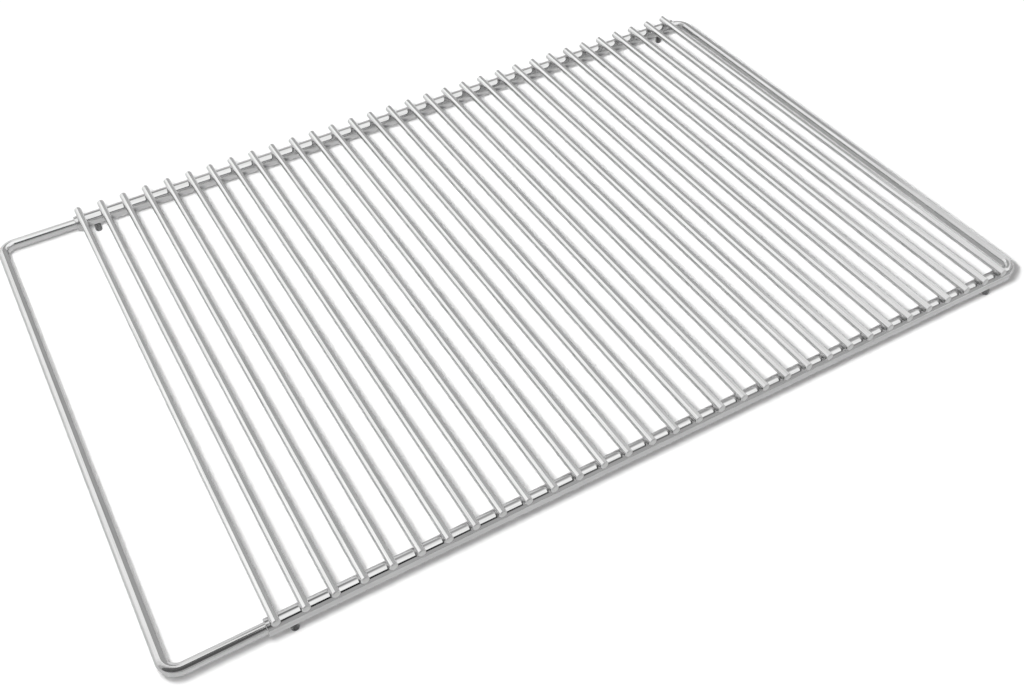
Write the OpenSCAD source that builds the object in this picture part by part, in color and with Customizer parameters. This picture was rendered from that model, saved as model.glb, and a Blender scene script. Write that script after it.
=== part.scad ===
// Extendable wire rack in stainless steel.
// Two tube rails carry a grid of round crossbars, each set into the rails by its weld.
// A frame of bent wire slides out of the rails at each end, and four socket set screws,
// tapped into the undersides of the rails, clamp its legs and serve as the feet.
// X runs along the rails, Y across them and Z up.
// The origin lies on the resting plane, under the middle of the rack as it is set out.

/* [Crossbars] */
// Number of crossbars
bar_count = 32; // [20:1:48]
// Diameter of a crossbar
bar_d = 5; // [3:0.1:8]
// Spacing of the crossbars, centre to centre
bar_pitch = 16.5; // [12:0.1:30]
// Reach of a crossbar past the outer side of each rail
bar_reach = 0; // [-2:0.1:10]
// Chamfer on the cut ends of a crossbar
bar_chamfer = 0.5; // [0.1:0.1:1]
// Depth to which a weld sets a crossbar into a rail
weld_set_down = 0.4; // [0.1:0.1:1]

/* [Rails] */
// Spacing of the two rails, axis to axis
rail_spacing = 380; // [120:1:600]
// Wall thickness of a rail tube
rail_wall = 1.5; // [0.8:0.1:3]
// Reach of a rail past the axis of the first crossbar on the left
rail_margin_left = 5; // [3:0.1:12]
// Reach of a rail past the axis of the last crossbar on the right
rail_margin_right = 8.5; // [3:0.1:12]
// Deburring chamfer on the mouths of a rail
rail_chamfer = 0.3; // [0.1:0.1:0.3]

/* [End frames] */
// Diameter of the frame wire
frame_d = 6.8; // [5:0.1:10]
// Radial clearance of a frame leg in the bore of its rail
slide_clearance = 0.1; // [0.05:0.01:0.3]
// Radius of the frame bends, on the middle line of the wire
bend_r = 9; // [8:0.1:30]
// Gap that a pushed-in bend keeps from the mouth of its rail
stop_gap = 0.3; // [0.1:0.1:2]
// Gap inside a rail between the legs of the two frames, when both are pushed in
leg_gap = 75; // [10:1:150]
// How far the left frame is pulled out as the rack is set out
left_extension = 43; // [0:0.5:60]
// How far the right frame is pulled out as the rack is set out
right_extension = 0; // [0:0.5:60]
// Chamfer on the inner ends of the legs
leg_chamfer = 0.8; // [0.1:0.1:1.5]

/* [Clamp screws] */
// Thread diameter of a clamp screw
screw_d = 5; // [3:0.1:6]
// Length of a clamp screw
screw_length = 8; // [6:0.1:16]
// Distance of a clamp screw from the end of its rail
screw_inset = 14; // [8:0.1:30]
// Radial clearance between a clamp screw and its tapped hole
thread_clearance = 0.05; // [0.02:0.01:0.1]
// Gap between the tip of a clamp screw and the leg over it
clamp_gap = 0.1; // [0.05:0.01:0.4]
// Width across the flats of the hexagon socket
socket_af = 2.5; // [1.3:0.1:2.6]
// Depth of the hexagon socket
socket_depth = 3; // [1.5:0.1:4]
// Chamfer around both ends of a clamp screw
screw_chamfer = 0.5; // [0.1:0.1:0.6]
// Diameter of the cup in the tip of a clamp screw
cup_d = 2.5; // [1:0.1:2.5]
// Depth of the cup in the tip of a clamp screw
cup_depth = 0.7; // [0.2:0.1:1]

/* [Hidden] */
$fn = 64;
// Overshoot of a cutter past the face that it cuts
cut_over = 1;

frame_r = frame_d / 2;
rail_bore_d = frame_d + 2 * slide_clearance;
rail_od = rail_bore_d + 2 * rail_wall;
rail_len = (bar_count - 1) * bar_pitch + rail_margin_left + rail_margin_right;
bar_len = rail_spacing + rail_od + 2 * bar_reach;
leg_len = (rail_len - leg_gap) / 2 + stop_gap;

// Distance from a rail end to the axis of its frame's cross wire
left_reach = left_extension + stop_gap + bend_r;
right_reach = right_extension + stop_gap + bend_r;
overall_len = rail_len + left_reach + right_reach + frame_d;

// Heights over the resting plane
rail_z = screw_length + clamp_gap + frame_r;
bar_z = rail_z + rail_od / 2 + bar_d / 2 - weld_set_down;

// Places along the rails
rail_x0 = left_reach + frame_r - overall_len / 2;
rail_x1 = rail_x0 + rail_len;
first_bar_x = rail_x0 + rail_margin_left;

front_y = -rail_spacing / 2;
back_y = rail_spacing / 2;

function two_digits(n) = str(n < 10 ? "0" : "", n);
function bar_name(i) = str("crossbar_", two_digits(i + 1));

// A round rod from the origin along +Z, with the same chamfer at both ends
module rod(d, length, chamfer) {
    r = d / 2;
    rotate_extrude()
        polygon([
            [0, 0], [r - chamfer, 0], [r, chamfer],
            [r, length - chamfer], [r - chamfer, length], [0, length]
        ]);
}

// A round rod centred on the origin and laid along Y
module rod_along_y(d, length, chamfer) {
    rotate([90, 0, 0])
        translate([0, 0, -length / 2])
            rod(d, length, chamfer);
}

// The outer surface of a rail as a cutter, as long as a crossbar is thick and a little more
module rail_seat(y) {
    translate([0, y, rail_z])
        rotate([0, 90, 0])
            cylinder(d = rail_od, h = bar_d + 2 * cut_over, center = true);
}

// One crossbar, saddled over both rails to the depth of its welds
module crossbar(i) {
    color("gainsboro")
        translate([first_bar_x + i * bar_pitch, 0, 0])
            difference() {
                translate([0, 0, bar_z])
                    rod_along_y(bar_d, bar_len, bar_chamfer);
                rail_seat(front_y);
                rail_seat(back_y);
            }
}

// A tube along +X with its mouths deburred inside and out
module deburred_tube(od, bore, length, chamfer) {
    ro = od / 2;
    ri = bore / 2;
    rotate([0, 90, 0])
        rotate_extrude()
            polygon([
                [ri + chamfer, 0], [ro - chamfer, 0], [ro, chamfer],
                [ro, length - chamfer], [ro - chamfer, length], [ri + chamfer, length],
                [ri, length - chamfer], [ri, chamfer]
            ]);
}

// Tapped hole through the lower wall of a rail, from its bore down
module tapped_hole(x) {
    translate([x, 0, -rail_od / 2 - cut_over])
        cylinder(d = screw_d + 2 * thread_clearance, h = rail_od / 2 + cut_over);
}

// One rail, with a tapped hole near each end
module rail(y) {
    color("silver")
        translate([rail_x0, y, rail_z])
            difference() {
                deburred_tube(rail_od, rail_bore_d, rail_len, rail_chamfer);
                tapped_hole(screw_inset);
                tapped_hole(rail_len - screw_inset);
            }
}

// A quarter bend of frame wire about the origin, from the +X side round to the +Y side
module quarter_bend() {
    rotate_extrude(angle = 90)
        translate([bend_r, 0])
            circle(d = frame_d);
}

// One straight leg, from the end of its bend towards -X, with a chamfered inner end
module frame_leg() {
    rotate([0, -90, 0])
        rotate_extrude()
            polygon([
                [0, 0], [frame_r, 0], [frame_r, leg_len - leg_chamfer],
                [frame_r - leg_chamfer, leg_len], [0, leg_len]
            ]);
}

// Half of an end frame: half the cross wire, one bend and one leg, on the +Y side
module half_frame() {
    corner_y = rail_spacing / 2 - bend_r;
    rotate([-90, 0, 0])
        cylinder(d = frame_d, h = corner_y);
    translate([-bend_r, corner_y, 0])
        quarter_bend();
    translate([-bend_r, rail_spacing / 2, 0])
        frame_leg();
}

// One end frame of bent wire, with its cross wire on the Y axis and its legs towards -X
module end_frame() {
    half_frame();
    mirror([0, 1, 0])
        half_frame();
}

module left_frame() {
    color("lightgray")
        translate([rail_x0 - left_reach, 0, rail_z])
            mirror([1, 0, 0])
                end_frame();
}

module right_frame() {
    color("lightgray")
        translate([rail_x1 + right_reach, 0, rail_z])
            end_frame();
}

// One socket set screw, standing on its socket end, with its cup tip up against the leg
module clamp_screw(x, y) {
    r = screw_d / 2;
    color("dimgray")
        translate([x, y, 0])
            difference() {
                rotate_extrude()
                    polygon([
                        [0, 0], [r - screw_chamfer, 0], [r, screw_chamfer],
                        [r, screw_length - screw_chamfer], [r - screw_chamfer, screw_length],
                        [cup_d / 2, screw_length], [0, screw_length - cup_depth]
                    ]);
                translate([0, 0, -cut_over])
                    cylinder(d = socket_af / cos(30), h = socket_depth + cut_over, $fn = 6);
            }
}

for (i = [0 : bar_count - 1])
    crossbar(i);
rail(front_y);  // front_rail
rail(back_y);  // back_rail
left_frame();
right_frame();
clamp_screw(rail_x0 + screw_inset, front_y);  // clamp_screw_front_left
clamp_screw(rail_x0 + screw_inset, back_y);  // clamp_screw_back_left
clamp_screw(rail_x1 - screw_inset, front_y);  // clamp_screw_front_right
clamp_screw(rail_x1 - screw_inset, back_y);  // clamp_screw_back_right
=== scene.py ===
"""Extendable wire rack in stainless steel: finishes, weld flash, clamp screws, studio and camera.

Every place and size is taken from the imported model's own boxes, in metres, in its frame:
X runs along the rails, Y across them and Z up, with the resting plane at zero.
"""

import logging
import math
from collections.abc import Mapping
from dataclasses import dataclass
from enum import Enum
from typing import Any

import bpy
import numpy as np
from mathutils import Matrix, Vector


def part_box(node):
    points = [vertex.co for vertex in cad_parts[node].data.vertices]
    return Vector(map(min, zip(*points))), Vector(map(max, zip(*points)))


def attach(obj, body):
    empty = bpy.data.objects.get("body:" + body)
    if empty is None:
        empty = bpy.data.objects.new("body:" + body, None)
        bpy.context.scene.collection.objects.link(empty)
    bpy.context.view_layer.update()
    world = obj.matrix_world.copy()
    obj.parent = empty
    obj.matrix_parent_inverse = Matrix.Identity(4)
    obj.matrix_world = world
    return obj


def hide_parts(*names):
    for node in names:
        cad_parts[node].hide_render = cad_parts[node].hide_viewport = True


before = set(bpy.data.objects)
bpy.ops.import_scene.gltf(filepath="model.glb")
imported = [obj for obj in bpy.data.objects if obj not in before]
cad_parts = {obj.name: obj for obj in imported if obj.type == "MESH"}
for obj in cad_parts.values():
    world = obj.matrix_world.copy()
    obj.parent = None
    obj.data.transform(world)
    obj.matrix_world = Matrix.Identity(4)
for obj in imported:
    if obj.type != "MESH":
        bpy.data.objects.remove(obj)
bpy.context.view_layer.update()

LOG = logging.getLogger("wire_rack")
MM = 0.001
WHITE = (1.0, 1.0, 1.0, 1.0)
# New pieces are shaded smooth, apart from edges that turn by more than this
CRISP_EDGE = math.radians(38)

Tree = bpy.types.NodeTree
Socket = bpy.types.NodeSocket
Piece = bpy.types.Object


class Run(Enum):
    """The way that the drawing lines of a wire or tube run."""

    ALONG_RAILS = "x"
    ALONG_BARS = "y"
    ROUND_THE_FRAME = "xy"
    UPRIGHT = "z"


class Slot(Enum):
    """Material slots of the record that new pieces take their finish from."""

    RAIL = "rail_steel"
    SCREW = "screw_steel"


class Edge(Enum):
    """An edge of a studio screen: the axis that it lies on, and the screen's share before and past it."""

    LEFT = ("X", 0.0, 1.0)
    RIGHT = ("X", 1.0, 0.0)
    FRONT = ("Y", 0.0, 1.0)
    BACK = ("Y", 1.0, 0.0)
    LOW = ("Z", 0.0, 1.0)


def linear(hex_colour: str) -> tuple[float, float, float, float]:
    """Turns an sRGB hex colour to linear RGBA.

    Args:
        hex_colour: Six hex digits, with or without a leading hash.

    Returns:
        Red, green, blue and an alpha of 1.
    """
    text = hex_colour.lstrip("#")
    parts = [int(text[i : i + 2], 16) / 255 for i in (0, 2, 4)]
    red, green, blue = (c / 12.92 if c <= 0.04045 else ((c + 0.055) / 1.055) ** 2.4 for c in parts)
    return red, green, blue, 1.0


def add_node(
    tree: Tree, kind: str, inputs: Mapping[Any, Any] | None = None, **settings: Any
) -> bpy.types.Node:
    """Adds one node with its settings, and gives or links its inputs.

    Args:
        tree: Node tree of a material, a world or a lamp.
        kind: The node's type name.
        inputs: Values or output sockets by the input's name or number.
        settings: Attributes of the node.

    Returns:
        The new node.
    """
    node = tree.nodes.new(kind)
    for key, value in settings.items():
        setattr(node, key, value)
    for key, value in (inputs or {}).items():
        if isinstance(value, Socket):
            tree.links.new(value, node.inputs[key])
        else:
            node.inputs[key].default_value = value
    return node


def empty_material(name: str) -> tuple[bpy.types.Material, Tree]:
    """Makes a material whose node tree is empty.

    Args:
        name: Name of the material.

    Returns:
        The material and its tree.
    """
    made = bpy.data.materials.new(name)
    made.use_nodes = True
    made.node_tree.nodes.clear()
    return made, made.node_tree


def grid_faces(rows: int, columns: int) -> np.ndarray:
    """Gives the quads of a grid that closes on itself along its columns.

    Args:
        rows: Number of rings.
        columns: Number of points on each ring.

    Returns:
        One row of four corner numbers for each quad, turned so that a surface whose columns run
        anticlockwise about the direction of its rows faces outwards.
    """
    row, column = np.meshgrid(np.arange(rows - 1), np.arange(columns), indexing="ij")
    beside = (column + 1) % columns
    here, above = row * columns, (row + 1) * columns
    return np.stack([here + column, here + beside, above + beside, above + column], axis=-1).reshape(-1, 4)


def make_piece(
    name: str, points: np.ndarray, quads: np.ndarray, triangles: np.ndarray, body: str
) -> Piece:
    """Puts a surface into a mesh and lets it ride on a body.

    Args:
        name: Name of the new piece.
        points: Corner points in metres, one row each.
        quads: Corner numbers of the quads.
        triangles: Corner numbers of the triangles, or an empty array.
        body: Name of the body that the piece moves with.

    Returns:
        The new object, at the origin and unturned.
    """
    mesh = bpy.data.meshes.new(name)
    mesh.from_pydata(points.tolist(), [], quads.tolist() + triangles.tolist())
    mesh.validate()
    mesh.polygons.foreach_set("use_smooth", np.ones(len(mesh.polygons), bool))
    mesh.set_sharp_from_angle(angle=CRISP_EDGE)
    piece = bpy.data.objects.new(name, mesh)
    bpy.context.scene.collection.objects.link(piece)
    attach(piece, body)
    return piece


def make_sheet(name: str, low: tuple[float, float], high: tuple[float, float], z: float) -> Piece:
    """Makes one flat level sheet of the studio.

    Args:
        name: Name of the sheet.
        low: Its lowest X and Y.
        high: Its highest X and Y.
        z: Its height.

    Returns:
        The new object.
    """
    corners = [(low[0], low[1], z), (high[0], low[1], z), (high[0], high[1], z), (low[0], high[1], z)]
    mesh = bpy.data.meshes.new(name)
    mesh.from_pydata(corners, [], [(0, 1, 2, 3)])
    sheet = bpy.data.objects.new(name, mesh)
    bpy.context.scene.collection.objects.link(sheet)
    return sheet


def wear(piece: Piece, finish: bpy.types.Material) -> None:
    """Gives every material slot of a piece the same finish.

    Args:
        piece: A CAD node's object or a new piece.
        finish: The material.
    """
    if not piece.material_slots:
        piece.data.materials.append(finish)
    for place in piece.material_slots:
        place.material = finish


@dataclass(frozen=True)
class DrawnSteel:
    """Stainless steel wire or tube, drawn through a die and then polished bright.

    It gives the eye a clear grey mirror with faint lines along the wire, and broad, very weak clouds.
    The real drawing lines are a few hundredths of a millimetre wide. They are drawn as coarse as they
    need to be to show.
    """

    name: str
    run: Run
    tone: str = "#E4E4E4"
    line_tone: str = "#CFCFCF"
    roughness: float = 0.1
    roughness_swing: float = 0.06
    line_width_mm: float = 0.7
    line_length_mm: float = 60.0
    line_depth_mm: float = 0.004
    line_detail: float = 3.0
    line_roughness: float = 0.6
    cloud_mm: float = 24.0
    cloud_detail: float = 2.0
    cloud_share: float = 0.3
    # The part of the pattern's range over which it goes from one tone to the other
    swing_from: float = 0.3
    swing_to: float = 0.7
    # On a bent frame, the distance from the middle at which its legs begin
    turn_at_mm: float = 0.0
    turn_soft_mm: float = 5.0
    # On bars, the distance from the middle at which their sheared ends begin
    cut_at_mm: float = 0.0
    cut_soft_mm: float = 0.1
    cut_tone: str = "#D0D0D0"
    cut_roughness: float = 0.3

    def lines(self, tree: Tree, place: Socket, run: Run) -> Socket:
        """Adds the drawing lines for one way along the object.

        The pattern is a noise on Object coordinates, stretched to the length of a line one way and
        pressed to its width the other two ways.

        Args:
            tree: Node tree of the material.
            place: Object coordinates.
            run: The way that the lines run, X, Y or Z.

        Returns:
            The pattern's value from 0 to 1.
        """
        along, across = 1 / (self.line_length_mm * MM), 1 / (self.line_width_mm * MM)
        scale = tuple(along if axis == run.value else across for axis in "xyz")
        fitted = add_node(tree, "ShaderNodeMapping", {0: place, "Scale": scale}, vector_type="POINT")
        detail = {"Detail": self.line_detail, "Roughness": self.line_roughness}
        grain = {"Vector": fitted.outputs[0], "Scale": 1.0, **detail}
        return add_node(tree, "ShaderNodeTexNoise", grain).outputs["Fac"]

    def past_reach(self, tree: Tree, place: Socket, reach_mm: float, soft_mm: float) -> Socket:
        """Adds a mask of what lies farther across the rack than a given reach.

        Args:
            tree: Node tree of the material.
            place: Object coordinates.
            reach_mm: Distance from the middle line at which the mask is 1.
            soft_mm: Distance over which it rises from 0.

        Returns:
            The mask, from 0 to 1.
        """
        parts = add_node(tree, "ShaderNodeSeparateXYZ", {0: place})
        reach = add_node(tree, "ShaderNodeMath", {0: parts.outputs["Y"]}, operation="ABSOLUTE")
        limits = {"From Min": (reach_mm - soft_mm) * MM, "From Max": reach_mm * MM}
        return add_node(tree, "ShaderNodeMapRange", {"Value": reach.outputs[0], **limits}).outputs[0]

    def pattern(self, tree: Tree, place: Socket) -> Socket:
        """Adds the lines of the whole piece, turned round at the bends of a frame.

        Args:
            tree: Node tree of the material.
            place: Object coordinates.

        Returns:
            The pattern's value from 0 to 1.
        """
        if self.run is not Run.ROUND_THE_FRAME:
            return self.lines(tree, place, self.run)
        legs = self.lines(tree, place, Run.ALONG_RAILS)
        cross = self.lines(tree, place, Run.ALONG_BARS)
        share = self.past_reach(tree, place, self.turn_at_mm, self.turn_soft_mm)
        return add_node(tree, "ShaderNodeMix", {"Factor": share, "A": cross, "B": legs}).outputs["Result"]

    def material(self) -> bpy.types.Material:
        """Builds the finish.

        The tone and the roughness both swing with the lines and the clouds, so that a duller line is
        also a little darker. The sheared ends of bars are duller all over.

        Returns:
            The new material.
        """
        made, tree = empty_material(self.name)
        place = add_node(tree, "ShaderNodeTexCoord").outputs["Object"]
        lines = self.pattern(tree, place)
        soft = {"Vector": place, "Scale": 1 / (self.cloud_mm * MM), "Detail": self.cloud_detail}
        cloud = add_node(tree, "ShaderNodeTexNoise", soft).outputs["Fac"]
        both = add_node(tree, "ShaderNodeMix", {"Factor": self.cloud_share, "A": lines, "B": cloud})
        swing = {"Value": both.outputs["Result"], "From Min": self.swing_from, "From Max": self.swing_to}
        share = add_node(tree, "ShaderNodeMapRange", swing).outputs[0]
        tones = {"Factor": share, "A": linear(self.line_tone), "B": linear(self.tone)}
        colour = add_node(tree, "ShaderNodeMix", tones, data_type="RGBA").outputs["Result"]
        rough = {"Factor": share, "A": self.roughness + self.roughness_swing, "B": self.roughness}
        gloss = add_node(tree, "ShaderNodeMix", rough).outputs["Result"]
        if self.cut_at_mm:
            cut = self.past_reach(tree, place, self.cut_at_mm, self.cut_soft_mm)
            ends = {"Factor": cut, "A": colour, "B": linear(self.cut_tone)}
            colour = add_node(tree, "ShaderNodeMix", ends, data_type="RGBA").outputs["Result"]
            dull = {"Factor": cut, "A": gloss, "B": self.cut_roughness}
            gloss = add_node(tree, "ShaderNodeMix", dull).outputs["Result"]
        relief = {"Height": lines, "Distance": self.line_depth_mm * MM, "Strength": 1.0}
        bump = add_node(tree, "ShaderNodeBump", relief).outputs[0]
        steel = {"Base Color": colour, "Metallic": 1.0, "Roughness": gloss, "Normal": bump}
        shader = add_node(tree, "ShaderNodeBsdfPrincipled", steel)
        add_node(tree, "ShaderNodeOutputMaterial", {"Surface": shader.outputs[0]})
        return made


@dataclass
class WeldRow:
    """The flash that resistance welding squeezes out round every seat of a crossbar on one rail.

    The seat is where the round bar sinks into the round rail. The flash is a thin bead in the
    narrow gap around it.
    """

    rail: str
    bars: list[str]
    seed: int
    gap: float = 0.42 * MM
    bead: float = 0.32 * MM
    swell: float = 0.14
    around: int = 28
    section: int = 8

    def seat_outline(self) -> tuple[np.ndarray, np.ndarray, np.ndarray, np.ndarray]:
        """Works out the curve on which the gap between bar and rail has one width.

        A point at the angle t lies at x = a cos t, y = b sin t. The half axes a and b are where the
        gap, the bar's underside less the rail's top, reaches the wanted width on each axis.

        Returns:
            The curve's x and y from the middle of the seat, and the heights of the bar's underside
            and of the rail's top there.
        """
        bar_low, bar_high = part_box(self.bars[0])
        rail_low, rail_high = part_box(self.rail)
        bar_r = (bar_high.x - bar_low.x) / 2
        rail_r = (rail_high.y - rail_low.y) / 2
        bar_z = bar_high.z - bar_r
        rail_z = rail_high.z - rail_r
        apart = bar_z - rail_z
        half_x = math.sqrt(bar_r**2 - (apart - rail_r - self.gap) ** 2)
        half_y = math.sqrt(rail_r**2 - (apart - bar_r - self.gap) ** 2)
        turn = np.linspace(0, 2 * math.pi, self.around, endpoint=False)
        x, y = half_x * np.cos(turn), half_y * np.sin(turn)
        return x, y, bar_z - np.sqrt(bar_r**2 - x**2), rail_z + np.sqrt(rail_r**2 - y**2)

    def beads(self, count: int) -> np.ndarray:
        """Gives the radius of the bead at each point round each seat.

        It is the plain radius times 1 and a small random swell, evened out with both neighbours.

        Args:
            count: Number of seats.

        Returns:
            One row for each seat.
        """
        chance = np.random.default_rng(self.seed)
        swell = 1 + self.swell * chance.standard_normal((count, self.around))
        return self.bead * (np.roll(swell, 1, axis=1) + 2 * swell + np.roll(swell, -1, axis=1)) / 4

    def build(self) -> Piece:
        """Builds the beads of one rail as one piece.

        Around each seat a small circle is carried along the seat's outline, halfway between the bar
        and the rail. Its radius swells and shrinks a little, as squeezed-out metal does.

        Returns:
            The new piece.
        """
        x, y, upper, lower = self.seat_outline()
        centre = np.stack([x, y, (upper + lower) / 2], axis=-1)
        along = np.roll(centre, -1, axis=0) - np.roll(centre, 1, axis=0)
        along /= np.linalg.norm(along, axis=1, keepdims=True)
        outward = np.cross(along, [0.0, 0.0, 1.0])
        outward /= np.linalg.norm(outward, axis=1, keepdims=True)
        downward = np.cross(along, outward)
        turn = np.linspace(0, 2 * math.pi, self.section, endpoint=False)[:, None]
        ring = outward[:, None] * np.cos(turn) + downward[:, None] * np.sin(turn)
        rail_low, rail_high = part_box(self.rail)
        boxes = [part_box(bar) for bar in self.bars]
        seat_x = np.array([(low.x + high.x) / 2 for low, high in boxes])
        seat_y = np.full_like(seat_x, (rail_low.y + rail_high.y) / 2)
        seats = np.stack([seat_x, seat_y, np.zeros_like(seat_x)], axis=-1)
        points = seats[:, None, None] + centre[:, None] + self.beads(len(seats))[..., None, None] * ring
        one_seat = self.around * self.section
        faces = grid_faces(self.around + 1, self.section) % one_seat
        quads = faces + np.arange(len(seats))[:, None, None] * one_seat
        no_triangles = np.zeros((0, 3), int)
        name = f"{self.rail}_weld_flash"
        return make_piece(name, points.reshape(-1, 3), quads.reshape(-1, 4), no_triangles, "rack")


@dataclass
class ClampScrew:
    """A socket set screw with its thread, hexagon socket and cup tip, in place of the plain solid."""

    node: str
    pitch: float = 0.8 * MM
    thread_depth: float = 0.46 * MM
    # Shares of half a turn of thread that the flat crest and one flank take
    crest: float = 0.15
    flank: float = 0.7
    chamfer: float = 0.5 * MM
    socket_flats: float = 2.5 * MM
    socket_depth: float = 3.0 * MM
    socket_rim: float = 1.5 * MM
    socket_lead_in: float = 0.2 * MM
    # How far the drill's point reaches past the socket, and its last ring's radius and distance from it
    drill_reach: float = 0.4 * MM
    drill_tip_r: float = 0.15 * MM
    drill_rise: float = 0.05 * MM
    cup_d: float = 2.5 * MM
    cup_depth: float = 0.7 * MM
    cup_tip_r: float = 0.1 * MM
    # Smallest step between two rings, which keeps an edge crisp
    step: float = 0.02 * MM
    around: int = 60
    rings_per_turn: int = 9

    def thread(self, radius: float, length: float, turn: np.ndarray) -> tuple[np.ndarray, np.ndarray]:
        """Works out the threaded side.

        The radius is the outer radius less the depth times a flat-topped wave, whose phase is the
        height over the pitch less the angle over a full turn. It never passes the chamfers.

        Args:
            radius: Outer radius.
            length: Length of the screw.
            turn: Angles round the screw.

        Returns:
            The radii, one row for each ring, and the rings' heights.
        """
        rows = int((length - 2 * self.step) / self.pitch * self.rings_per_turn)
        height = np.linspace(self.step, length - self.step, rows)[:, None]
        wave = np.abs(((height / self.pitch - turn / (2 * math.pi)) % 1) * 2 - 1)
        groove = np.clip((wave - self.crest) / self.flank, 0, 1)
        from_end = np.minimum(height, length - height)
        taper = radius - np.clip(self.chamfer - from_end, 0, None)
        return np.minimum(radius - self.thread_depth * groove, taper), height[:, 0]

    def rings(self, radius: float, length: float, turn: np.ndarray) -> np.ndarray:
        """Works out all rings, from the socket's floor round the outside and into the cup.

        The socket's rings are hexagons: at the angle t their radius is half the width across flats
        over the cosine of the angle from the middle of the nearest flat.

        Args:
            radius: Outer radius.
            length: Length of the screw.
            turn: Angles round the screw.

        Returns:
            The rings' points, ring by ring.
        """
        sixth = math.pi / 3
        hexagon = self.socket_flats / 2 / np.cos((turn + sixth / 2) % sixth - sixth / 2)
        even = np.ones_like(turn)
        socket = [
            (self.drill_tip_r * even, self.socket_depth + self.drill_reach - self.drill_rise),
            (hexagon - self.step, self.socket_depth),
            (hexagon, self.socket_depth - 2 * self.step),
            (hexagon, self.socket_lead_in),
            (np.maximum(hexagon, self.socket_rim), 0.0),
            ((radius - self.chamfer - self.step) * even, 0.0),
        ]
        cup = [(self.cup_d / 2 * even, length), (self.cup_tip_r * even, length - self.cup_depth)]
        side, heights = self.thread(radius, length, turn)
        radii = np.concatenate([[ring for ring, _ in socket], side, [ring for ring, _ in cup]])
        heights = np.concatenate([[z for _, z in socket], heights, [z for _, z in cup]])
        z = np.broadcast_to(heights[:, None], radii.shape)
        return np.stack([radii * np.cos(turn), radii * np.sin(turn), z], axis=-1)

    def build(self) -> Piece:
        """Builds the screw as one closed surface of rings, with a point in the middle at each end.

        Returns:
            The new piece, which stands for the plain screw.
        """
        low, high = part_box(self.node)
        length = high.z - low.z
        turn = np.linspace(0, 2 * math.pi, self.around, endpoint=False)
        points = self.rings((high.x - low.x) / 2, length, turn)
        ends = [[0, 0, self.socket_depth + self.drill_reach], [0, 0, length - self.cup_depth - self.step]]
        middle = np.array([(low.x + high.x) / 2, (low.y + high.y) / 2, low.z])
        bottom = len(points) * self.around
        top = bottom + 1
        column = np.arange(self.around)
        beside = (column + 1) % self.around
        last = bottom - self.around
        bottom_fan = np.stack([np.full_like(column, bottom), beside, column], axis=-1)
        top_fan = np.stack([np.full_like(column, top), last + column, last + beside], axis=-1)
        piece = make_piece(
            f"{self.node}_threaded",
            np.concatenate([points.reshape(-1, 3), ends]) + middle,
            grid_faces(len(points), self.around),
            np.concatenate([bottom_fan, top_fan]),
            self.node,
        )
        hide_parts(self.node)
        return piece


@dataclass
class CrossbarGrid:
    """The grid of round crossbars."""

    bars: list[str]
    # Depth of the sheared end face with its chamfer
    end_mm: float = 0.35

    def dress(self) -> None:
        """Gives every crossbar the finish of bright drawn wire, sheared off at its ends."""
        # Bright wire: a grey mirror with faint lines along each bar, and duller flat ends
        cut_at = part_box(self.bars[0])[1].y / MM - self.end_mm
        finish = DrawnSteel("bright_drawn_wire_crossbars", Run.ALONG_BARS, cut_at_mm=cut_at).material()
        for bar in self.bars:
            wear(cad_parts[bar], finish)


@dataclass
class TubeRails:
    """The two tube rails with the welds of the crossbars on them."""

    bars: list[str]
    front: str = "front_rail"
    back: str = "back_rail"

    def build(self) -> list[Piece]:
        """Builds the weld flash on both rails.

        Returns:
            The front rail's flash and the back rail's.
        """
        front = WeldRow(self.front, self.bars, seed=17).build()
        back = WeldRow(self.back, self.bars, seed=16).build()
        return [front, back]

    def dress(self, flash: list[Piece]) -> None:
        """Gives the rails the finish of polished tube, and the flash that of an etched weld.

        Args:
            flash: The pieces of weld flash.
        """
        # Polished tube: the clearest mirror here, so that its light band and dark line are crisp
        tube = DrawnSteel(
            "polished_drawn_tube",
            Run.ALONG_RAILS,
            tone="#D2D2D2",
            line_tone="#C0C0C0",
            roughness=0.055,
            roughness_swing=0.035,
            line_width_mm=0.9,
        )
        # Etched weld: dull and slightly pitted, without a clear reflection
        weld = DrawnSteel(
            "etched_weld_flash",
            Run.ALONG_RAILS,
            tone="#CCCCCC",
            line_tone="#ACACAC",
            roughness=0.3,
            line_width_mm=0.4,
            line_length_mm=0.6,
        )
        finish = tube.material()
        for rail in (self.front, self.back):
            wear(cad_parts[rail], finish)
        etched = weld.material()
        for piece in flash:
            wear(piece, etched)


@dataclass
class EndFrames:
    """The two frames of bent wire, whose legs slide in the rails."""

    nodes: tuple[str, ...] = ("left_frame", "right_frame")
    # Radius of the bends to the outer side of the wire
    bend_mm: float = 12.0

    def dress(self) -> None:
        """Gives the bent wire its finish, with lines that follow it round the bends."""
        # Bent wire: a little duller than the tube, with lines along the legs and the cross wire
        bent = DrawnSteel(
            "bright_bent_wire",
            Run.ROUND_THE_FRAME,
            tone="#D8D8D8",
            line_tone="#C6C6C6",
            roughness=0.08,
            roughness_swing=0.05,
            turn_at_mm=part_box(self.nodes[0])[1].y / MM - self.bend_mm,
        )
        finish = bent.material()
        for node in self.nodes:
            wear(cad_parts[node], finish)


@dataclass
class ClampScrews:
    """The four set screws that clamp the frames and serve as feet."""

    nodes: list[str]

    def build(self) -> list[Piece]:
        """Builds the threaded screws."""
        return [ClampScrew(node).build() for node in self.nodes]

    def dress(self, screws: list[Piece]) -> None:
        """Gives the screws their finish.

        Args:
            screws: The threaded screws.
        """
        # Machined steel: darker and duller than the wire, with short marks up its side
        machined = DrawnSteel(
            "machined_screw_steel",
            Run.UPRIGHT,
            tone="#BEBEBE",
            line_tone="#6A6A6A",
            roughness=0.12,
            line_width_mm=0.5,
            line_length_mm=1.0,
        )
        finish = machined.material()
        for screw in screws:
            wear(screw, finish)


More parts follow.
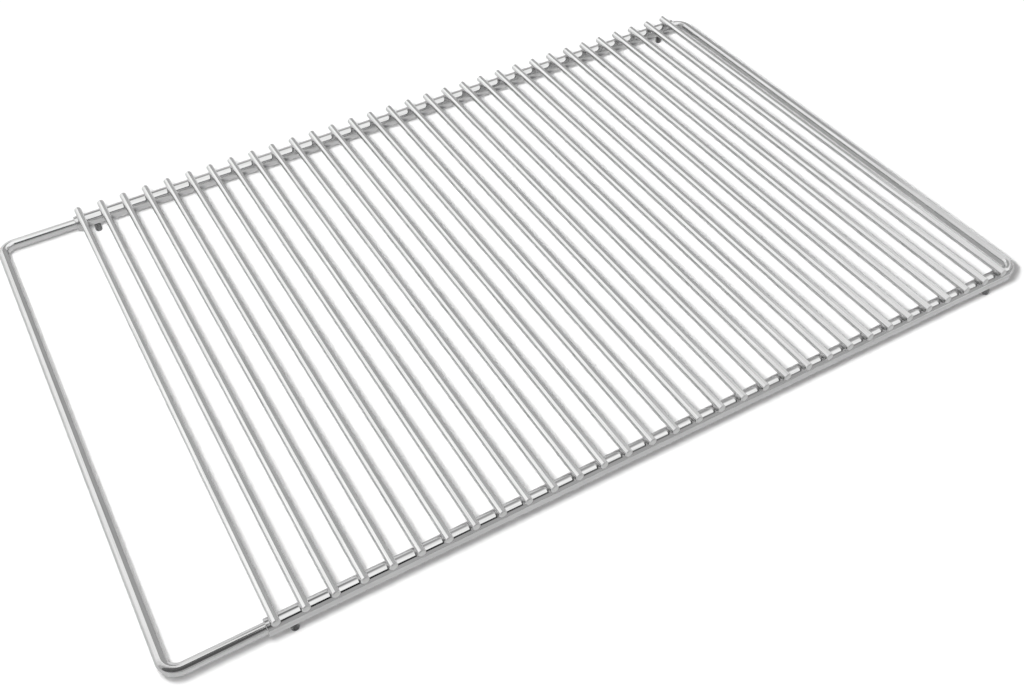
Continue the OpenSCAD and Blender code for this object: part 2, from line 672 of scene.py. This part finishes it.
@dataclass(frozen=True)
class Screen:
    """A studio screen of one brightness, which only the metal mirrors.

    It covers what lies between its edges, and has no end where no edge is given. The edges are
    places on a card, or parts of a direction in the surroundings.
    """

    level: float
    soft: float
    edges: Mapping[Edge, float]

    def hang(self, tree: Tree, parts: Any, behind: float | Socket) -> Socket:
        """Hangs the screen before what is already there.

        The share that the screen covers is the product of a soft step at each of its edges.

        Args:
            tree: Node tree of the card or the world.
            parts: X, Y and Z of the place or the direction, by name.
            behind: The level behind the screen.

        Returns:
            The level with the screen.
        """
        share = 1.0
        for edge, at in self.edges.items():
            axis, before, past = edge.value
            limits = {"From Min": at - self.soft / 2, "From Max": at + self.soft / 2}
            step = {"Value": parts[axis], **limits, "To Min": before, "To Max": past}
            risen = add_node(tree, "ShaderNodeMapRange", step, interpolation_type="SMOOTHSTEP")
            product = {0: share, 1: risen.outputs[0]}
            share = add_node(tree, "ShaderNodeMath", product, operation="MULTIPLY").outputs[0]
        covered = {"Factor": share, "A": behind, "B": self.level}
        return add_node(tree, "ShaderNodeMix", covered).outputs["Result"]


@dataclass
class PaperFloor:
    """The white paper under the rack.

    The camera sees it white, with the shadows on it. Mirrored rays see the same paper greyer and with less
    lift than the camera does. This is a painted darker reflection, which gives the round wires their fine
    grey outlines.
    """

    half: float = 6.0
    z: float = -0.1 * MM
    tone: str = "#F8F8F8"
    # Painted reflection: the greyer tone, and the smaller share of the lift, that only mirrored rays get
    painted_dark_reflection_tone: str = "#DCDCDC"
    lift: float = 0.09
    painted_reflection_lift_share: float = 0.3

    def build(self) -> Piece:
        """Builds the floor just under the feet.

        Returns:
            The floor.
        """
        floor = make_sheet("studio_floor", (-self.half, -self.half), (self.half, self.half), self.z)
        paper, tree = empty_material("matt_white_paper")
        rays = add_node(tree, "ShaderNodeLightPath").outputs
        # Painted reflection: mirrored rays get the greyer tone and only part of the lift, so the metal
        # mirrors a darker floor than the camera sees
        mirrored = rays["Is Glossy Ray"]
        tones = {"Factor": mirrored, "A": linear(self.tone), "B": linear(self.painted_dark_reflection_tone)}
        tone = add_node(tree, "ShaderNodeMix", tones, data_type="RGBA").outputs["Result"]
        direct = {0: rays["Is Camera Ray"], 1: rays["Is Transmission Ray"]}
        seen = add_node(tree, "ShaderNodeMath", direct, operation="MAXIMUM").outputs[0]
        weaker = {0: mirrored, 1: self.painted_reflection_lift_share, 2: seen}
        share = add_node(tree, "ShaderNodeMath", weaker, operation="MULTIPLY_ADD").outputs[0]
        lift = add_node(tree, "ShaderNodeMath", {0: share, 1: self.lift}, operation="MULTIPLY").outputs[0]
        matt = add_node(tree, "ShaderNodeBsdfDiffuse", {"Color": tone, "Roughness": 0.0})
        glow = add_node(tree, "ShaderNodeEmission", {"Strength": lift})
        both = add_node(tree, "ShaderNodeAddShader", {0: matt.outputs[0], 1: glow.outputs[0]})
        add_node(tree, "ShaderNodeOutputMaterial", {"Surface": both.outputs[0]})
        wear(floor, paper)
        return floor


@dataclass(frozen=True)
class Card:
    """A level card high over the table, which only the metal mirrors."""

    name: str
    low: tuple[float, float]
    high: tuple[float, float]
    level: float
    screens: tuple[Screen, ...] = ()
    z: float = 0.45

    def build(self) -> Piece:
        """Hangs the card.

        Returns:
            The card.
        """
        card = make_sheet(self.name, self.low, self.high, self.z)
        card.visible_camera = False
        card.visible_diffuse = False
        card.visible_shadow = False
        card.visible_transmission = False
        card.visible_volume_scatter = False
        paint, tree = empty_material(f"{self.name}_paint")
        place = add_node(tree, "ShaderNodeTexCoord").outputs["Object"]
        parts = add_node(tree, "ShaderNodeSeparateXYZ", {0: place}).outputs
        level: float | Socket = self.level
        for screen in self.screens:
            level = screen.hang(tree, parts, level)
        glow = add_node(tree, "ShaderNodeEmission", {"Strength": level})
        add_node(tree, "ShaderNodeOutputMaterial", {"Surface": glow.outputs[0]})
        wear(card, paint)
        return card


@dataclass
class Cards:
    """The grey card over the front, under the camera, and the dark one over the left end frame.

    The front card's dark edge gives the tubes the crisp dark line under their light band. It is also
    dark round the camera's own place, which the left legs mirror. The left card widens the dark band
    on the front left leg.
    """

    front: Card = Card(
        "front_card",
        (-6.0, -6.0),
        (6.0, -0.37),
        0.02,
        (
            Screen(0.4, 0.8, {Edge.LEFT: 0.2}),
            Screen(0.56, 0.03, {Edge.BACK: -0.61}),
            Screen(0.13, 0.08, {Edge.RIGHT: -0.2, Edge.FRONT: -1.05}),
        ),
    )
    left: Card = Card("left_card", (-6.0, -0.37), (-0.215, -0.13), 0.17)

    def build(self) -> list[Piece]:
        """Hangs both cards."""
        return [self.front.build(), self.left.build()]


@dataclass
class LampRow:
    """Soft lamps in a short row over the front left corner.

    Their light falls off neither with distance nor towards its edges, so that the whole floor is lit
    alike, and their place keeps the shadows close beside the wires. The metal mirrors the
    surroundings instead of them.
    """

    level: float = 0.78
    x: float = -0.306
    row: tuple[float, ...] = (-0.37, -0.28)
    z: float = 0.524
    radius: float = 0.055
    # Below this share of the upright, the light is held, so that it stays finite at the horizon
    lowest: float = 0.05

    def lamp(self, y: float) -> bpy.types.Light:
        """Makes one lamp of the row.

        Its strength goes with one over the upright part of the light's direction, which makes up for
        the slant at which the light meets the floor.

        Args:
            y: Place in the row.

        Returns:
            The lamp's data.
        """
        data = bpy.data.lights.new("soft_lamp", "POINT")
        data.energy = 1.0
        data.shadow_soft_size = self.radius
        data.use_nodes = True
        tree = data.node_tree
        tree.nodes.clear()
        way = add_node(tree, "ShaderNodeTexCoord").outputs["Normal"]
        upright = add_node(tree, "ShaderNodeSeparateXYZ", {0: way}).outputs["Z"]
        steep = add_node(tree, "ShaderNodeMath", {0: upright}, operation="ABSOLUTE").outputs[0]
        held = add_node(tree, "ShaderNodeMath", {0: steep, 1: self.lowest}, operation="MAXIMUM").outputs[0]
        # A lamp of one watt lights what is a metre away at a level of 1 / (4 pi squared)
        straight_down = self.level / len(self.row) * 4 * math.pi**2
        even = add_node(tree, "ShaderNodeMath", {0: straight_down, 1: held}, operation="DIVIDE").outputs[0]
        falloff = add_node(tree, "ShaderNodeLightFalloff", {"Strength": even})
        shine = add_node(tree, "ShaderNodeEmission", {"Strength": falloff.outputs["Constant"]})
        add_node(tree, "ShaderNodeOutputLight", {"Surface": shine.outputs[0]})
        lamp = bpy.data.objects.new("soft_lamp", data)
        lamp.location = (self.x, y, self.z)
        lamp.visible_glossy = False
        bpy.context.scene.collection.objects.link(lamp)
        return data

    def build(self) -> list[bpy.types.Light]:
        """Hangs the whole row."""
        return [self.lamp(y) for y in self.row]


@dataclass
class Surroundings:
    """The world: white to the camera, an even soft light, and screens for the metal to mirror.

    What a mirrored ray sees of the world depends on its own direction alone.
    """

    ambient: float = 0.26
    low_left: float = 0.91
    screens: tuple[Screen, ...] = (
        # The white left side above the horizon, and the grey right side
        Screen(1.27, 0.5, {Edge.LOW: 0.2}),
        Screen(0.5, 0.12, {Edge.LEFT: 0.02}),
        # The dark gap between the two at the back
        Screen(0.3, 0.05, {Edge.LEFT: 0.03, Edge.RIGHT: 0.12, Edge.FRONT: 0.5}),
        # The ceiling, brightest over the rack, and the grey walls at its left and right
        Screen(1.0, 0.1, {Edge.FRONT: -0.9, Edge.BACK: 0.5}),
        Screen(0.6, 0.1, {Edge.FRONT: -0.9, Edge.BACK: 0.3}),
        Screen(1.42, 0.08, {Edge.FRONT: -0.9, Edge.BACK: 0.33, Edge.LEFT: -0.15, Edge.RIGHT: 0.76}),
        # The white far wall, and the grey front below the card
        Screen(1.0, 0.06, {Edge.FRONT: 0.84}),
        Screen(0.56, 0.1, {Edge.BACK: -0.8}),
    )

    def build(self) -> bpy.types.World:
        """Makes the world.

        Returns:
            The new world, which is the scene's own.
        """
        world = bpy.data.worlds.new("studio")
        bpy.context.scene.world = world
        world.use_nodes = True
        tree = world.node_tree
        tree.nodes.clear()
        way = add_node(tree, "ShaderNodeTexCoord").outputs["Generated"]
        parts = add_node(tree, "ShaderNodeSeparateXYZ", {0: way}).outputs
        level: float | Socket = self.low_left
        for screen in self.screens:
            level = screen.hang(tree, parts, level)
        rays = add_node(tree, "ShaderNodeLightPath").outputs
        lit = {"Factor": rays["Is Glossy Ray"], "A": self.ambient, "B": level}
        seen = add_node(tree, "ShaderNodeMix", lit).outputs["Result"]
        direct = {0: rays["Is Camera Ray"], 1: rays["Is Transmission Ray"]}
        clear = add_node(tree, "ShaderNodeMath", direct, operation="MAXIMUM").outputs[0]
        white = {"Factor": clear, "A": seen, "B": 1.0}
        strength = add_node(tree, "ShaderNodeMix", white).outputs["Result"]
        shine = add_node(tree, "ShaderNodeBackground", {"Color": WHITE, "Strength": strength})
        add_node(tree, "ShaderNodeOutputWorld", {"Surface": shine.outputs[0]})
        return world


@dataclass
class Studio:
    """Floor, cards, lamps and surroundings."""

    floor: PaperFloor
    cards: Cards
    lamps: LampRow
    world: Surroundings

    def build(self) -> None:
        """Sets up the studio with the plain view transform."""
        self.floor.build()
        self.cards.build()
        self.lamps.build()
        self.world.build()
        bpy.context.scene.view_settings.view_transform = "Standard"


@dataclass
class ViewingCamera:
    """The camera at the photograph's viewing angle, for a frame of 1024 by 695."""

    focal_px: float = 1115.0
    frame_px: float = 1024.0
    sensor_mm: float = 36.0
    shift_x: float = -0.001
    shift_y: float = -0.0013
    clip: tuple[float, float] = (0.01, 100.0)
    place: tuple[float, float, float] = (-0.2699, -0.51516, 0.51682)
    right: tuple[float, float, float] = (0.86709, -0.49771, -0.02076)
    down: tuple[float, float, float] = (-0.36798, -0.61189, -0.70013)
    ahead: tuple[float, float, float] = (0.33576, 0.61472, -0.71371)

    def build(self) -> bpy.types.Object:
        """Sets up the camera.

        Returns:
            The camera, which is the scene's own.
        """
        data = bpy.data.cameras.new("viewing_camera")
        data.sensor_fit = "HORIZONTAL"
        data.sensor_width = self.sensor_mm
        data.lens = self.focal_px * self.sensor_mm / self.frame_px
        data.shift_x, data.shift_y = self.shift_x, self.shift_y
        data.clip_start, data.clip_end = self.clip
        camera = bpy.data.objects.new("viewing_camera", data)
        up, back = -Vector(self.down), -Vector(self.ahead)
        axes = Matrix((self.right, up, back)).transposed()
        camera.rotation_mode = "QUATERNION"
        camera.rotation_quaternion = axes.to_quaternion().normalized()
        camera.location = Vector(self.place)
        bpy.context.scene.collection.objects.link(camera)
        bpy.context.scene.camera = camera
        return camera


def main() -> None:
    """Builds and dresses the rack, one sub-assembly after the other, then the studio and the camera."""
    logging.basicConfig(level=logging.INFO, format="%(name)s: %(message)s")
    names = sorted(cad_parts)
    bars = [name for name in names if name.startswith("crossbar_")]
    CrossbarGrid(bars).dress()
    LOG.info("crossbars: %d", len(bars))
    rails = TubeRails(bars)
    flash = rails.build()
    rails.dress(flash)
    for piece in flash:
        LOG.info("weld flash: %s, %d faces", piece.name, len(piece.data.polygons))
    frames = EndFrames()
    frames.dress()
    LOG.info("end frames: %s", ", ".join(frames.nodes))
    feet = ClampScrews([name for name in names if name.startswith("clamp_screw_")])
    screws = feet.build()
    feet.dress(screws)
    for piece in screws:
        LOG.info("clamp screw: %s, %d faces", piece.name, len(piece.data.polygons))
    Studio(PaperFloor(), Cards(), LampRow(), Surroundings()).build()
    ViewingCamera().build()


if __name__ == "__main__":
    main()
